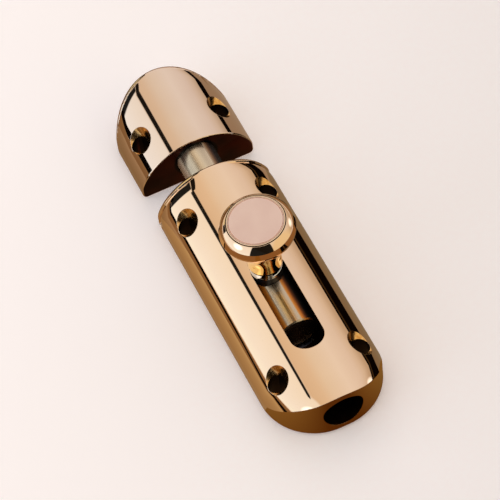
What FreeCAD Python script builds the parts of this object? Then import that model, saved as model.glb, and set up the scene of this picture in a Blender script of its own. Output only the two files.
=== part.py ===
import FreeCAD, Part
import math
import os
import re
import Sketcher

# Surface-mounted sliding door bolt: a casing with a knob that throws a round bolt into a keeper.
# Millimetres. +Z points away from the door, +X from the keeper to the casing's far end.
# The origin is on the mounting face, in the middle of the whole length and width.

doc = FreeCAD.newDocument("DoorBolt")
sheet = doc.addObject("Spreadsheet::Sheet", "Sizes")

# Driving dimensions. Each is a cell of the sheet, under its own name.
SIZES = {
    # Casing and keeper are cut from one arched section
    "body_width": 28.0,             # width across the flanks
    "body_height": 13.3,            # crest above the mounting face
    "flank_height": 2.7,            # top of the upright flanks
    "haunch_radius": 4.5,           # arc between flank and crown
    "base_edge_round": 1.2,         # rounding of the base edges
    "casing_length": 68.7,          # casing along the bolt
    "casing_end_flat": 2.0,         # straight middle of the far end's wall, between its round corners
    "casing_front_round": 1.5,      # edge rounding of the end that faces the keeper
    "keeper_length": 23.9,          # keeper along the bolt
    "keeper_bow_depth": 9.13,       # rise of the keeper's bowed rear wall over its width
    "keeper_shoulder": 5.0,         # plan radius between the keeper's sides and its rear wall
    "keeper_rear_round": 1.5,       # edge rounding of the keeper's rear end
    "keeper_face_round": 0.25,      # edge rounding of the keeper's face
    "keeper_gap": 7.4,              # between keeper and casing, as fitted

    # Bolt rod and its bore
    "bore_height": 7.0,             # bore axis above the mounting face
    "rod_diameter": 9.3,            # bolt rod
    "rod_fit": 0.1,                 # radial running clearance of the rod in its bore
    "rod_grip": 11.7,               # rod inside the keeper when thrown
    "rod_tail": 14.8,               # rod behind the knob axis
    "rod_nose_round": 0.9,          # rounding of the rod's leading edge
    "rod_tail_chamfer": 0.3,        # chamfer of the rod's rear edge
    "travel": 19.5,                 # throw of the bolt
    "knob_setback": 31.6,           # knob axis behind the casing's front when thrown
    "knob_lean": 3.0,               # turn of the loose bolt about its own axis, in degrees

    # Screw holes
    "screw_hole_radius": 2.1,       # clearance hole for a fixing screw
    "screw_hole_edge": 4.0,         # hole centre from the flank
    "sink_radius": 3.4,             # countersink at the arched surface
    "casing_hole_front": 9.8,       # front pair of holes behind the casing's front
    "casing_hole_pitch": 46.6,      # between the casing's pairs of holes
    "keeper_hole_set": 8.7,         # keeper's holes behind its face

    # Stack on the rod under the knob
    "seat_height": 4.0,             # flat seat on the rod above its axis
    "seat_margin": 0.1,             # seat radius beyond the bush
    "bush_radius": 3.5,             # nylon bush in the slot
    "bush_height": 2.7,             # nylon bush
    "slot_side_gap": 0.425,         # slot beyond the bush on each side
    "stop_gap": 0.2,                # bush to the slot's end at each stop
    "washer_radius": 3.65,          # plain washer
    "washer_thickness": 0.8,        # plain washer
    "lock_radius": 3.75,            # spring lock washer
    "lock_thickness": 1.1,          # section of the lock washer
    "lock_rise": 0.6,               # rise of the lock washer over its turn
    "lock_turn": 0.96,              # part of a full turn that the lock washer makes
    "hole_play": 0.1,               # radial play of washers and knob on the screw

    # Knob, measured from its foot up
    "foot_radius": 3.9,             # foot of the neck
    "neck_straight": 2.4,           # cylindrical part of the neck
    "neck_flare": 9.5,              # radius of the flare under the head
    "neck_top_radius": 6.2,         # neck where it meets the head
    "rim_base_radius": 8.1,         # lower edge of the head
    "rim_base_height": 11.3,        # lower edge of the head
    "rim_radius": 8.4,              # widest part of the head
    "rim_height": 11.9,             # widest part of the head
    "bevel_radius": 7.65,           # edge between rim and dome
    "bevel_height": 13.8,           # edge between rim and dome
    "dome_radius": 3.4,             # dome's profile arc
    "face_radius": 6.5,             # flat face
    "knob_height": 15.8,            # foot to face
    "cap_radius": 6.1,              # cap disc in the face
    "cap_thickness": 1.0,           # cap disc
    "cap_gap": 0.06,                # cap disc to its recess
    "cap_edge_chamfer": 0.12,       # chamfer of the cap disc
    "cap_line_radius": 5.78,        # fine ring line on the cap disc
    "cap_line_width": 0.16,         # fine ring line on the cap disc
    "cap_line_depth": 0.08,         # fine ring line on the cap disc

    # Knob screw
    "screw_radius": 2.0,            # knob screw's shank
    "screw_bite": 3.9,              # knob screw in the rod, below the seat
    "screw_head_radius": 3.5,       # knob screw's head
    "screw_head_height": 3.7,       # knob screw's head
    "head_side_gap": 0.25,          # counterbore beyond the screw's head
    "head_top_gap": 0.2,            # cap disc above the screw's head
    "socket_radius": 1.73,          # corner radius of the hexagon socket
    "socket_depth": 2.0,            # hexagon socket
    "thread_fit": 0.02,             # tapped hole beyond the screw's shank
    "tap_margin": 0.8,              # tapped hole below the screw's tip

    # Friction spring under the rod and its cover
    "spring_length": 28.0,          # leaf spring, end to end
    "spring_width": 5.4,            # leaf spring
    "spring_thickness": 0.35,       # leaf spring
    "spring_gap": 0.05,             # spring's crest below the rod
    "spring_room": 0.4,             # window beyond the spring on each side
    "spring_place": 33.0,           # middle of the spring behind the casing's front
    "cover_length": 36.0,           # base cover
    "cover_width": 17.4,            # base cover
    "cover_thickness": 1.2,         # base cover
    "cover_corner": 2.0,            # corner radius of the base cover
    "cover_gap": 0.1,               # base cover to its recess
    "cover_screw_side": 6.4,        # cover screws from the middle line
    "cover_screw_radius": 1.0,      # cover screws' shank
    "cover_screw_length": 5.0,      # cover screws, head included
    "cover_head_radius": 1.9,       # cover screws' head
    "cover_head_inset": 0.05,       # cover screws' head inside the base
    "cover_screw_fit": 0.05,        # holes beyond the cover screws
    "drive_length": 2.6,            # screwdriver slot in the cover screws' head
    "drive_width": 0.5,             # screwdriver slot in the cover screws' head
    "drive_depth": 0.5,             # screwdriver slot in the cover screws' head
}
aliases = list(SIZES)
for row, alias in enumerate(aliases, 1):
    sheet.set("A%d" % row, alias.replace("_", " "))
    sheet.set("B%d" % row, str(SIZES[alias]))
    sheet.setAlias("B%d" % row, alias)
doc.recompute()

# Length below which two places count as the same
CLOSE = 1e-4

# Sizes that follow from the driving ones
HALF_LENGTH = "(casing_length + keeper_gap + keeper_length) / 2"
CASING_FRONT = "(%s - casing_length)" % HALF_LENGTH
KEEPER_FACE = "(keeper_length - %s)" % HALF_LENGTH
HALF_WIDTH = "(body_width / 2)"
RISE = "(body_height - flank_height)"
CROWN_RADIUS = ("(((%s - haunch_radius)^2 + %s^2 - haunch_radius^2) / (2 * (%s - haunch_radius)))"
                % (HALF_WIDTH, RISE, RISE))
END_CORNER = "(%s - casing_end_flat / 2)" % HALF_WIDTH
KEEPER_BOW = "((%s^2 + keeper_bow_depth^2) / (2 * keeper_bow_depth))" % HALF_WIDTH
HOLE_SIDE = "(%s - screw_hole_edge)" % HALF_WIDTH
BORE_RADIUS = "(rod_diameter / 2 + rod_fit)"
SLOT_RADIUS = "(bush_radius + slot_side_gap)"
SLOT_FRONT = "(knob_setback + slot_side_gap - stop_gap)"
SLOT_REAR = "(knob_setback + travel - slot_side_gap + stop_gap)"
WASHER_BASE = "(seat_height + bush_height)"
LOCK_BASE = "(%s + washer_thickness)" % WASHER_BASE
FOOT_BASE = "(%s + lock_thickness + lock_rise)" % LOCK_BASE
PLAY_RADIUS = "(screw_radius + hole_play)"
RECESS_FLOOR = "(knob_height - cap_thickness)"
HEAD_SEAT = "(%s - head_top_gap - screw_head_height)" % RECESS_FLOOR
SCREW_TIP = "(seat_height - screw_bite)"
SPRING_CREST = "(bore_height - rod_diameter / 2 - spring_gap)"
SPRING_BOW = "(%s - spring_thickness - cover_thickness)" % SPRING_CREST
SPRING_RADIUS = "((%s^2 + (spring_length / 2)^2) / (2 * %s))" % (SPRING_BOW, SPRING_BOW)
COVER_HEAD_DEPTH = "(cover_head_radius - cover_screw_radius)"


def in_sheet(formula):
    """The formula with each alias written as a cell of the sheet."""
    def cell(word):
        return "Sizes." + word.group() if word.group() in aliases else word.group()
    return re.sub(r"[a-z]+(_[a-z]+)*", cell, formula)


def bind(thing, prop, formula):
    thing.setExpression(prop, in_sheet(formula))


def value(formula):
    """What a formula comes to with the sheet's present numbers."""
    return float(sheet.evalExpression(in_sheet(formula)))


def new_body(label, x="0", z="0", lean=False):
    """A body at its place. What rides on the bolt leans with it about the bore's axis."""
    body = doc.addObject("PartDesign::Body", label)
    body.Label = label
    angle = value("knob_lean") if lean else 0.0
    body.Placement = FreeCAD.Placement(FreeCAD.Vector(0, 0, 0), FreeCAD.Rotation(FreeCAD.Vector(1, 0, 0), angle))
    bind(body, "Placement.Base.x", x)
    bind(body, "Placement.Base.z", z)
    if lean:
        bind(body, "Placement.Rotation.Angle", "knob_lean")
    return body


def new_sketch(body, role, lift=None):
    """A sketch on one of the body's own origin planes, lifted along the plane's normal."""
    sketch = body.newObject("Sketcher::SketchObject", body.Label + "_" + role)
    plane = [feature for feature in body.Origin.OriginFeatures if feature.Role == role][0]
    sketch.AttachmentSupport = [(plane, "")]
    sketch.MapMode = "FlatFace"
    if lift:
        bind(sketch, "AttachmentOffset.Base.z", lift)
    return sketch


def pin_point(sketch, geometry, position, x, y):
    """Holds a point of the sketch at formulas for its two coordinates."""
    for kind, formula, axis in (("DistanceX", x, -2), ("DistanceY", y, -1)):
        if formula == "0":
            sketch.addConstraint(Sketcher.Constraint("PointOnObject", geometry, position, axis))
            continue
        index = sketch.addConstraint(Sketcher.Constraint(kind, -1, 1, geometry, position, value(formula)))
        bind(sketch, "Constraints[%d]" % index, formula)


def outline(sketch, corners):
    """A closed outline, drawn counterclockwise. Each corner is (x, y) or (x, y, radius): the radius bends the
    side that follows the corner, outwards where it is positive and inwards where it is negative."""
    count = len(corners)
    points = [FreeCAD.Vector(value(corner[0]), value(corner[1]), 0) for corner in corners]
    first = sketch.GeometryCount
    ends = []
    for number in range(count):
        start = points[number]
        end = points[(number + 1) % count]
        if len(corners[number]) == 2:
            sketch.addGeometry(Part.LineSegment(start, end), False)
            ends.append((1, 2))
            continue
        radius = value(corners[number][2])
        chord = end - start
        outward = FreeCAD.Vector(chord.y, -chord.x, 0).normalize()
        if radius < 0:
            outward = outward * -1
        sagitta = abs(radius) - math.sqrt(max(radius ** 2 - (chord.Length / 2) ** 2, 0.0))
        middle = (start + end) * 0.5 + outward * sagitta
        sketch.addGeometry(Part.Arc(start, middle, end), False)
        # a sketch keeps its arcs counterclockwise, so one that bends inwards has its ends the other way round
        ends.append((1, 2) if radius > 0 else (2, 1))
    for number in range(count):
        this = first + number
        following = first + (number + 1) % count
        sketch.addConstraint(Sketcher.Constraint("Coincident", this, ends[number][1],
                                                 following, ends[(number + 1) % count][0]))
    for number in range(count):
        pin_point(sketch, first + number, ends[number][0], corners[number][0], corners[number][1])
        if len(corners[number]) == 3:
            radius = corners[number][2].lstrip("-")
            index = sketch.addConstraint(Sketcher.Constraint("Radius", first + number, value(radius)))
            bind(sketch, "Constraints[%d]" % index, radius)


def circle(sketch, x, y, radius):
    index = sketch.addGeometry(Part.Circle(FreeCAD.Vector(value(x), value(y), 0), FreeCAD.Vector(0, 0, 1),
                                           value(radius)), False)
    pin_point(sketch, index, 3, x, y)
    bound = sketch.addConstraint(Sketcher.Constraint("Radius", index, value(radius)))
    bind(sketch, "Constraints[%d]" % bound, radius)


def rounded_slot(sketch, x0, x1, radius):
    """A slot along the sketch's x axis with half-round ends about x0 and x1, each of two quarter arcs."""
    outline(sketch, [(x0, "-" + radius), (x1, "-" + radius, radius), ("(%s + %s)" % (x1, radius), "0", radius),
                     (x1, radius), (x0, radius, radius), ("(%s - %s)" % (x0, radius), "0", radius)])


def pad(body, sketch, length, midplane=False, reverse=False):
    feature = body.newObject("PartDesign::Pad", body.Label + "_Pad")
    feature.Profile = sketch
    feature.Midplane = midplane
    feature.Reversed = reverse
    bind(feature, "Length", length)
    doc.recompute()
    return feature


def pocket(body, sketch, depth=None, reverse=False, midplane=False):
    """Cuts the sketch's outline out. It stops the build if nothing was removed."""
    doc.recompute()
    before = body.Shape.Volume
    feature = body.newObject("PartDesign::Pocket", body.Label + "_Pocket")
    feature.Profile = sketch
    feature.Midplane = midplane
    feature.Reversed = reverse
    if depth is None:
        feature.Type = "ThroughAll"
    else:
        bind(feature, "Length", depth)
    doc.recompute()
    if not body.Shape.Volume < before - 1e-6:
        raise RuntimeError("%s removed nothing from %s" % (sketch.Label, body.Label))
    return feature


def turned(body, sketch, kind="PartDesign::Revolution", axis="V_Axis"):
    feature = body.newObject(kind, body.Label + "_" + kind.split("::")[1])
    feature.Profile = sketch
    feature.ReferenceAxis = (sketch, [axis])
    feature.Angle = 360.0
    doc.recompute()
    return feature


def round_edges(body, radius, wanted):
    """Rounds the edges of the body so far that the test picks out."""
    tip = body.Tip
    names = ["Edge%d" % (number + 1) for number, edge in enumerate(tip.Shape.Edges) if wanted(edge)]
    feature = body.newObject("PartDesign::Fillet", body.Label + "_Fillet")
    feature.Base = (tip, names)
    bind(feature, "Radius", radius)
    doc.recompute()
    return feature


def lies_at(low, high, place):
    """Whether an edge's extent along one axis is at one place."""
    return abs(low - place) < CLOSE and abs(high - place) < CLOSE


def on_cut(edge):
    """The edges of the flat face that the casing and the keeper turn towards each other."""
    return lies_at(edge.BoundBox.XMin, edge.BoundBox.XMax, 0)


def on_base(edge):
    return lies_at(edge.BoundBox.ZMin, edge.BoundBox.ZMax, 0)


def above_base_round(edge):
    return edge.BoundBox.ZMin > value("base_edge_round") + CLOSE


def upright(edge):
    return lies_at(edge.BoundBox.XMin - edge.BoundBox.XMax, edge.BoundBox.YMin - edge.BoundBox.YMax, 0)


def arched(body):
    """Cuts the common arched section along the whole body: flanks, haunches and crown."""
    sketch = new_sketch(body, "YZ_Plane")
    crown = CROWN_RADIUS
    # the crown and haunch arcs meet on the line through their two centres
    reach = "(%s - haunch_radius)" % crown
    join_y = "(%s * (%s - haunch_radius) / %s)" % (crown, HALF_WIDTH, reach)
    join_z = "(body_height - %s + %s * (%s - (body_height - flank_height)) / %s)" % (crown, crown, crown, reach)
    outside = "(body_width)"
    above = "(2 * body_height)"
    outline(sketch, [(HALF_WIDTH, "flank_height", "haunch_radius"),
                     (join_y, join_z, crown),
                     ("-" + join_y, join_z, "haunch_radius"),
                     ("-" + HALF_WIDTH, "flank_height"),
                     ("-" + outside, "flank_height"),
                     ("-" + outside, above),
                     (outside, above),
                     (outside, "flank_height")])
    doc.recompute()
    return pocket(body, sketch, midplane=True)


def bored(body):
    """The bore for the bolt rod, right through."""
    sketch = new_sketch(body, "YZ_Plane")
    circle(sketch, "0", "bore_height", BORE_RADIUS)
    return pocket(body, sketch, midplane=True)


def screw_holes(body, places):
    """Upright clearance holes in pairs, each with a countersink square to the arched surface."""
    sketch = new_sketch(body, "XY_Plane")
    for x in places:
        circle(sketch, x, HOLE_SIDE, "screw_hole_radius")
        circle(sketch, x, "-" + HOLE_SIDE, "screw_hole_radius")
    pocket(body, sketch, reverse=True)
    # the countersink's axis is the crown's radius through the hole's centre
    crown = CROWN_RADIUS
    sine = "(%s / %s)" % (HOLE_SIDE, crown)
    cosine = "(sqrt(1 - %s^2))" % sine
    for x in places:
        for side in ("", "-"):
            cone = new_sketch(body, "YZ_Plane", x)
            tip = "(%s - sink_radius)" % crown
            top = "(%s + sink_radius)" % crown
            centre = "(body_height - %s)" % crown
            points = [(tip, "0"), (top, "0"), (top, "(2 * sink_radius)")]
            corners = []
            for along, across in points:
                y = "(%s * %s + %s * %s)" % (along, sine, across, cosine)
                z = "(%s + %s * %s - %s * %s)" % (centre, along, cosine, across, sine)
                corners.append((side + y, z))
            outline(cone, corners)
            axis = cone.addGeometry(Part.LineSegment(
                FreeCAD.Vector(value(corners[0][0]), value(corners[0][1]), 0),
                FreeCAD.Vector(value(corners[1][0]), value(corners[1][1]), 0)), True)
            cone.addConstraint(Sketcher.Constraint("Coincident", axis, 1, 0, 1))
            cone.addConstraint(Sketcher.Constraint("Coincident", axis, 2, 1, 1))
            before = body.Shape.Volume
            turned(body, cone, "PartDesign::Groove", "Axis0")
            if not body.Shape.Volume < before - 1e-6:
                raise RuntimeError("a countersink removed nothing from " + body.Label)


def casing():
    """Arched block, square at the keeper's end and round in plan at the other, with bore, knob slot and holes."""
    body = new_body("casing", CASING_FRONT)
    plan = new_sketch(body, "XY_Plane")
    outline(plan, [("0", "-" + HALF_WIDTH),
                   ("(casing_length - %s)" % END_CORNER, "-" + HALF_WIDTH, END_CORNER),
                   ("casing_length", "(-casing_end_flat / 2)"),
                   ("casing_length", "(casing_end_flat / 2)", END_CORNER),
                   ("(casing_length - %s)" % END_CORNER, HALF_WIDTH),
                   ("0", HALF_WIDTH)])
    pad(body, plan, "body_height")
    arched(body)
    round_edges(body, "base_edge_round", lambda edge: on_base(edge) and not on_cut(edge))
    round_edges(body, "casing_front_round", lambda edge: on_cut(edge) and not on_base(edge))
    bored(body)
    slot = new_sketch(body, "XY_Plane", "bore_height")
    rounded_slot(slot, SLOT_FRONT, SLOT_REAR, SLOT_RADIUS)
    pocket(body, slot, reverse=True)
    screw_holes(body, ["casing_hole_front", "(casing_hole_front + casing_hole_pitch)"])
    # window for the friction spring, up through the floor into the bore
    window = new_sketch(body, "XY_Plane")
    half = "(spring_length / 2 + spring_room)"
    wide = "(spring_width / 2 + spring_room)"
    outline(window, [("(spring_place - %s)" % half, "-" + wide), ("(spring_place + %s)" % half, "-" + wide),
                     ("(spring_place + %s)" % half, wide), ("(spring_place - %s)" % half, wide)])
    pocket(body, window, "bore_height", reverse=True)
    recess = new_sketch(body, "XY_Plane")
    cover_plan(recess, "spring_place", "cover_gap")
    pocket(body, recess, "cover_thickness", reverse=True)
    taps = new_sketch(body, "XY_Plane")
    circle(taps, "spring_place", "cover_screw_side", "(cover_screw_radius + cover_screw_fit)")
    circle(taps, "spring_place", "-cover_screw_side", "(cover_screw_radius + cover_screw_fit)")
    pocket(body, taps, "(cover_screw_length + cover_screw_radius)", reverse=True)
    return body


def cover_plan(sketch, x, gap):
    """Round-cornered plan of the base cover about x, grown by a gap."""
    long_half = "(cover_length / 2 + %s)" % gap
    wide_half = "(cover_width / 2 + %s)" % gap
    radius = "(cover_corner + %s)" % gap
    near = "(%s - %s)" % (wide_half, radius)
    left = "(%s - %s)" % (x, long_half)
    left_in = "(%s + %s)" % (left, radius)
    right = "(%s + %s)" % (x, long_half)
    right_in = "(%s - %s)" % (right, radius)
    outline(sketch, [(left_in, "-" + wide_half), (right_in, "-" + wide_half, radius), (right, "-" + near),
                     (right, near, radius), (right_in, wide_half), (left_in, wide_half, radius),
                     (left, near), (left, "-" + near, radius)])


def keeper():
    """Short block of the same section with a bowed rear end. Its face towards the casing is flat."""
    body = new_body("keeper", KEEPER_FACE)
    plan = new_sketch(body, "XY_Plane")
    shoulder = "(keeper_bow_depth - keeper_length)"
    outline(plan, [("0", HALF_WIDTH), (shoulder, HALF_WIDTH, KEEPER_BOW), (shoulder, "-" + HALF_WIDTH),
                   ("0", "-" + HALF_WIDTH)])
    pad(body, plan, "body_height")
    round_edges(body, "keeper_shoulder", lambda edge: upright(edge) and not on_cut(edge))
    rear = max(edge.BoundBox.XMax for edge in body.Tip.Shape.Edges if upright(edge) and not on_cut(edge))
    arched(body)
    round_edges(body, "base_edge_round", lambda edge: on_base(edge) and not on_cut(edge))
    round_edges(body, "keeper_rear_round",
                lambda edge: edge.BoundBox.XMax < rear + CLOSE and above_base_round(edge) and not upright(edge))
    round_edges(body, "keeper_face_round", lambda edge: on_cut(edge) and not on_base(edge))
    bored(body)
    screw_holes(body, ["-keeper_hole_set"])
    return body


def bolt_rod():
    """Round rod, rounded at its leading end, with a flat seat and a tapped hole under the knob."""
    body = new_body("bolt_rod", "(%s + knob_setback)" % CASING_FRONT, "bore_height", lean=True)
    side = new_sketch(body, "XZ_Plane")
    lead = "-(knob_setback + keeper_gap + rod_grip)"
    radius = "(rod_diameter / 2)"
    outline(side, [(lead, "0"), ("rod_tail", "0"), ("rod_tail", "(%s - rod_tail_chamfer)" % radius),
                   ("(rod_tail - rod_tail_chamfer)", radius),
                   ("(%s + rod_nose_round)" % lead, radius, "rod_nose_round"),
                   (lead, "(%s - rod_nose_round)" % radius)])
    turned(body, side, axis="H_Axis")
    seat = new_sketch(body, "XY_Plane", "seat_height")
    circle(seat, "0", "0", "(bush_radius + seat_margin)")
    pocket(body, seat, reverse=True)
    tap = new_sketch(body, "XY_Plane", "(%s - tap_margin)" % SCREW_TIP)
    circle(tap, "0", "0", "(screw_radius + thread_fit)")
    pocket(body, tap, reverse=True)
    return body


def on_stem(label):
    """A body whose own origin is where the knob's axis crosses the rod's."""
    return new_body(label, "(%s + knob_setback)" % CASING_FRONT, "bore_height", lean=True)


def ring(label, base, height, radius, hole):
    """A plain ring about the knob's axis."""
    body = on_stem(label)
    plan = new_sketch(body, "XY_Plane", base)
    circle(plan, "0", "0", radius)
    circle(plan, "0", "0", hole)
    pad(body, plan, height)
    return body


def lock_washer():
    """Split spring washer: one almost full turn of flat section that rises like a thread."""
    body = on_stem("lock_washer")
    section = new_sketch(body, "XZ_Plane")
    top = "(%s + lock_thickness)" % LOCK_BASE
    outline(section, [(PLAY_RADIUS, LOCK_BASE), ("lock_radius", LOCK_BASE), ("lock_radius", top), (PLAY_RADIUS, top)])
    turn = body.newObject("PartDesign::AdditiveHelix", "lock_washer_Helix")
    turn.Profile = section
    turn.ReferenceAxis = (section, ["V_Axis"])
    turn.Mode = "pitch-turns-angle"
    bind(turn, "Pitch", "(lock_rise / lock_turn)")
    bind(turn, "Turns", "lock_turn")
    turn.LeftHanded = True
    doc.recompute()
    return body


def knob():
    """Turned brass knob: foot, flared neck, rim, dome and a face with a recess for the cap disc."""
    body = on_stem("knob")
    foot = FOOT_BASE
    side = new_sketch(body, "XZ_Plane")
    flare_rise = "(sqrt(neck_flare^2 - (foot_radius + neck_flare - neck_top_radius)^2))"
    outline(side, [("0", foot),
                   ("foot_radius", foot),
                   ("foot_radius", "(%s + neck_straight)" % foot, "-neck_flare"),
                   ("neck_top_radius", "(%s + neck_straight + %s)" % (foot, flare_rise)),
                   ("rim_base_radius", "(%s + rim_base_height)" % foot),
                   ("rim_radius", "(%s + rim_height)" % foot),
                   ("bevel_radius", "(%s + bevel_height)" % foot, "dome_radius"),
                   ("face_radius", "(%s + knob_height)" % foot),
                   ("0", "(%s + knob_height)" % foot)])
    turned(body, side)
    recess = new_sketch(body, "XY_Plane", "(%s + %s)" % (foot, RECESS_FLOOR))
    circle(recess, "0", "0", "(cap_radius + cap_gap)")
    pocket(body, recess, reverse=True)
    counterbore = new_sketch(body, "XY_Plane", "(%s + %s)" % (foot, HEAD_SEAT))
    circle(counterbore, "0", "0", "(screw_head_radius + head_side_gap)")
    pocket(body, counterbore, reverse=True)
    through = new_sketch(body, "XY_Plane")
    circle(through, "0", "0", PLAY_RADIUS)
    pocket(body, through, reverse=True)
    return body


def knob_cap():
    """Flat disc in the knob's face, with a fine ring line near its edge."""
    body = on_stem("knob_cap")
    side = new_sketch(body, "XZ_Plane")
    top = "(%s + knob_height)" % FOOT_BASE
    base = "(%s - cap_thickness)" % top
    line_in = "(cap_line_radius - cap_line_width / 2)"
    line_out = "(cap_line_radius + cap_line_width / 2)"
    outline(side, [("0", base), ("cap_radius", base), ("cap_radius", "(%s - cap_edge_chamfer)" % top),
                   ("(cap_radius - cap_edge_chamfer)", top), (line_out, top),
                   ("cap_line_radius", "(%s - cap_line_depth)" % top), (line_in, top), ("0", top)])
    turned(body, side)
    return body


def knob_screw():
    """Socket head screw that clamps knob, washers and bush to the rod."""
    body = on_stem("knob_screw")
    side = new_sketch(body, "XZ_Plane")
    seat = "(%s + %s)" % (FOOT_BASE, HEAD_SEAT)
    top = "(%s + screw_head_height)" % seat
    outline(side, [("0", SCREW_TIP), ("screw_radius", SCREW_TIP), ("screw_radius", seat),
                   ("screw_head_radius", seat), ("screw_head_radius", top), ("0", top)])
    turned(body, side)
    socket = new_sketch(body, "XY_Plane", "(%s - socket_depth)" % top)
    corners = []
    for corner in range(6):
        turn = "(%d * 1 deg)" % (60 * corner)
        x = "(socket_radius * cos(%s))" % turn
        y = "(socket_radius * sin(%s))" % turn
        corners.append((x, "0" if corner % 3 == 0 else y))
    outline(socket, corners)
    pocket(body, socket, reverse=True)
    return body


def friction_spring():
    """Bowed leaf spring: its ends rest on the cover and its crest bears on the rod."""
    body = new_body("friction_spring", "(%s + spring_place)" % CASING_FRONT)
    side = new_sketch(body, "XZ_Plane")
    radius = SPRING_RADIUS
    outer = "(%s + spring_thickness)" % radius
    end_x = "(spring_length / 2)"
    # the upper arc ends where the sheet's edge is square to the lower arc
    upper_x = "(%s * %s / %s)" % (end_x, outer, radius)
    centre = "(cover_thickness + %s - %s)" % (SPRING_BOW, radius)
    upper_z = "(%s + %s * (%s - %s) / %s)" % (centre, outer, radius, SPRING_BOW, radius)
    outline(side, [(end_x, "cover_thickness"), (upper_x, upper_z, outer), ("-" + upper_x, upper_z),
                   ("-" + end_x, "cover_thickness", "-" + radius)])
    pad(body, side, "spring_width", midplane=True)
    return body


def spring_cover():
    """Thin plate that closes the casing's underside below the spring."""
    body = new_body("spring_cover", "(%s + spring_place)" % CASING_FRONT)
    plan = new_sketch(body, "XY_Plane")
    cover_plan(plan, "0", "0")
    pad(body, plan, "cover_thickness")
    # the countersinks start below the plate and reach its full thickness
    head = "(cover_head_radius + cover_screw_fit)"
    shank = "(cover_screw_radius + cover_screw_fit)"
    for place in ("cover_screw_side", "-cover_screw_side"):
        sink = new_sketch(body, "XZ_Plane", place)
        outline(sink, [("0", "-cover_screw_length"), (head, "-cover_screw_length"), (head, "cover_head_inset"),
                       (shank, "(cover_head_inset + %s)" % COVER_HEAD_DEPTH), (shank, "cover_screw_length"),
                       ("0", "cover_screw_length")])
        before = body.Shape.Volume
        turned(body, sink, "PartDesign::Groove")
        if not body.Shape.Volume < before - 1e-6:
            raise RuntimeError("a countersink removed nothing from " + body.Label)
    return body


def cover_screws():
    """Two countersunk screws that hold the base cover, as one pair."""
    pair = []
    for name, place in (("left", "cover_screw_side"), ("right", "-cover_screw_side")):
        half = new_body("cover_screw_" + name)
        side = new_sketch(half, "XZ_Plane", place)
        top = "(cover_head_inset + %s)" % COVER_HEAD_DEPTH
        outline(side, [("0", "cover_head_inset"), ("cover_head_radius", "cover_head_inset"),
                       ("cover_screw_radius", top), ("cover_screw_radius", "cover_screw_length"),
                       ("0", "cover_screw_length")])
        turned(half, side)
        drive = new_sketch(half, "XY_Plane")
        across = "(%s * (-1))" % place
        half_long = "(drive_length / 2)"
        half_wide = "(drive_width / 2)"
        outline(drive, [("-" + half_long, "(%s - %s)" % (across, half_wide)),
                        (half_long, "(%s - %s)" % (across, half_wide)),
                        (half_long, "(%s + %s)" % (across, half_wide)),
                        ("-" + half_long, "(%s + %s)" % (across, half_wide))])
        pocket(half, drive, "(cover_head_inset + drive_depth)", reverse=True)
        pair.append(half)
    both = doc.addObject("Part::Compound", "cover_screws")
    both.Label = "cover_screws"
    both.Links = pair
    bind(both, "Placement.Base.x", "(%s + spring_place)" % CASING_FRONT)
    doc.recompute()
    return both


def report():
    """Stops the build unless every object is sound, then prints each sub-part's size."""
    for thing in doc.Objects:
        if "Invalid" in thing.State or "Error" in thing.State:
            raise RuntimeError("%s is in state %s" % (thing.Label, thing.State))
    for node in nodes:
        if node.Shape.isNull() or not node.Shape.isValid():
            raise RuntimeError("%s has no valid shape" % node.Label)
        box = node.Shape.BoundBox
        print("%-16s solids %d volume %9.2f x %7.2f %7.2f y %7.2f %7.2f z %6.2f %6.2f"
              % (node.Label, len(node.Shape.Solids), node.Shape.Volume,
                 box.XMin, box.XMax, box.YMin, box.YMax, box.ZMin, box.ZMax))


nodes = [casing(), keeper(), bolt_rod()]
nodes.append(ring("slot_bush", "seat_height", "bush_height", "bush_radius", PLAY_RADIUS))
nodes.append(ring("plain_washer", WASHER_BASE, "washer_thickness", "washer_radius", PLAY_RADIUS))
nodes.append(lock_washer())
nodes.append(knob())
nodes.append(knob_cap())
nodes.append(knob_screw())
nodes.append(friction_spring())
nodes.append(spring_cover())
nodes.append(cover_screws())
doc.recompute()
report()
os.makedirs("parts", exist_ok=True)
for node in nodes:
    node.Shape.exportStep("parts/%s.step" % node.Label)
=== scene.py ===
import math
import bmesh
import bpy
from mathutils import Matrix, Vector


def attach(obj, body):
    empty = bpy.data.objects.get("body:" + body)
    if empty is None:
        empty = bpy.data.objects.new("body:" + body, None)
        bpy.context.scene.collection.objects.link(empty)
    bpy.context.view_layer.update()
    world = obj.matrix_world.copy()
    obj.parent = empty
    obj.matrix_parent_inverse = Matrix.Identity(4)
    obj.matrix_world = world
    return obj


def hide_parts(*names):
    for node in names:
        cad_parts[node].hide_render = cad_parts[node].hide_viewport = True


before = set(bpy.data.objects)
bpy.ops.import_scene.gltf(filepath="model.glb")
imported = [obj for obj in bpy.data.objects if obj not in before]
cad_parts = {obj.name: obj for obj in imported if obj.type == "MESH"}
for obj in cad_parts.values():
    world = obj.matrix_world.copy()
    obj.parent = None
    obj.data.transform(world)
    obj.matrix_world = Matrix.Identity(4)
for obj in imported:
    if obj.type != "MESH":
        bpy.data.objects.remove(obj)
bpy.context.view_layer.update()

# ---------------------------------------------------------------- casing
# The bolt's housing is one length of brass bar, drawn to an arched section, rounded in plan at one end,
# bored for the rod, milled for the knob's stem and countersunk for four screws. It is polished to a mirror,
# plated rose gold and lacquered, so what it shows is the studio round it, in sharp bands along its length.

MM = 0.001
# the bar's crown, and the height of the bore's axis above the latch's back, in mm
CROWN_RADIUS, CROWN_Z = 14.95, -1.65
ROD_Z = 7


def linear(colour):
    """An sRGB hex colour as linear red, green, blue and alpha."""
    parts = [int(colour[place:place + 2], 16) / 255 for place in (1, 3, 5)]
    return [part / 12.92 if part <= 0.04045 else ((part + 0.055) / 1.055) ** 2.4 for part in parts] + [1.0]


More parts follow.
